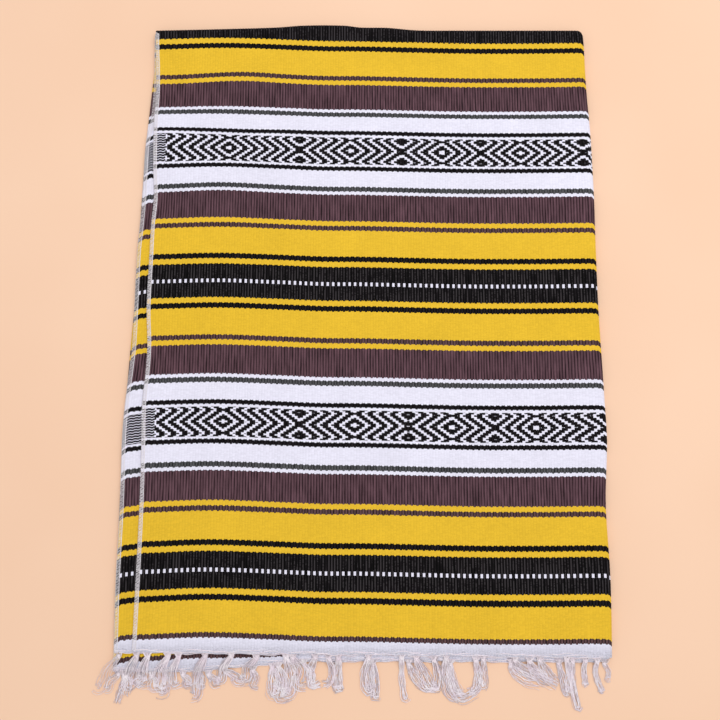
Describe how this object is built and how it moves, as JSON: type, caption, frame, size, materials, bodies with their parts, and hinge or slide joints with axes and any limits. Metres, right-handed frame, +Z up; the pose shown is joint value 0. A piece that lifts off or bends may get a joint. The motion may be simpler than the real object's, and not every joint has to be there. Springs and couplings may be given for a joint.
{
  "type": "folded woven blanket",
  "caption": "Wool and cotton striped blanket with knotted fringe, folded in four and lying flat, with its fold edges rounded and its hems layered.",
  "frame": {"origin": "middle of the packet's box, on the surface it lies on", "axes": "+Z up from the surface, +Y along the length from the fringed hems to the fold, +X across to the side fold"},
  "size_m": [0.6876, 0.981, 0.0126],
  "materials": {
    "top_panel": "matte ribbed weave in stripes",
    "folded_layers": "matte ribbed weave in stripes",
    "fringe_top": "twisted cotton yarn",
    "fringe_second": "twisted cotton yarn",
    "fringe_third": "twisted cotton yarn",
    "fringe_bottom": "twisted cotton yarn"
  },
  "bodies": {
    "root": {"top_panel": "top_panel", "folded_layers": "folded_layers", "fringe_top": "fringe_top", "fringe_second": "fringe_second", "fringe_third": "fringe_third", "fringe_bottom": "fringe_bottom"}
  },
  "joints": []
}
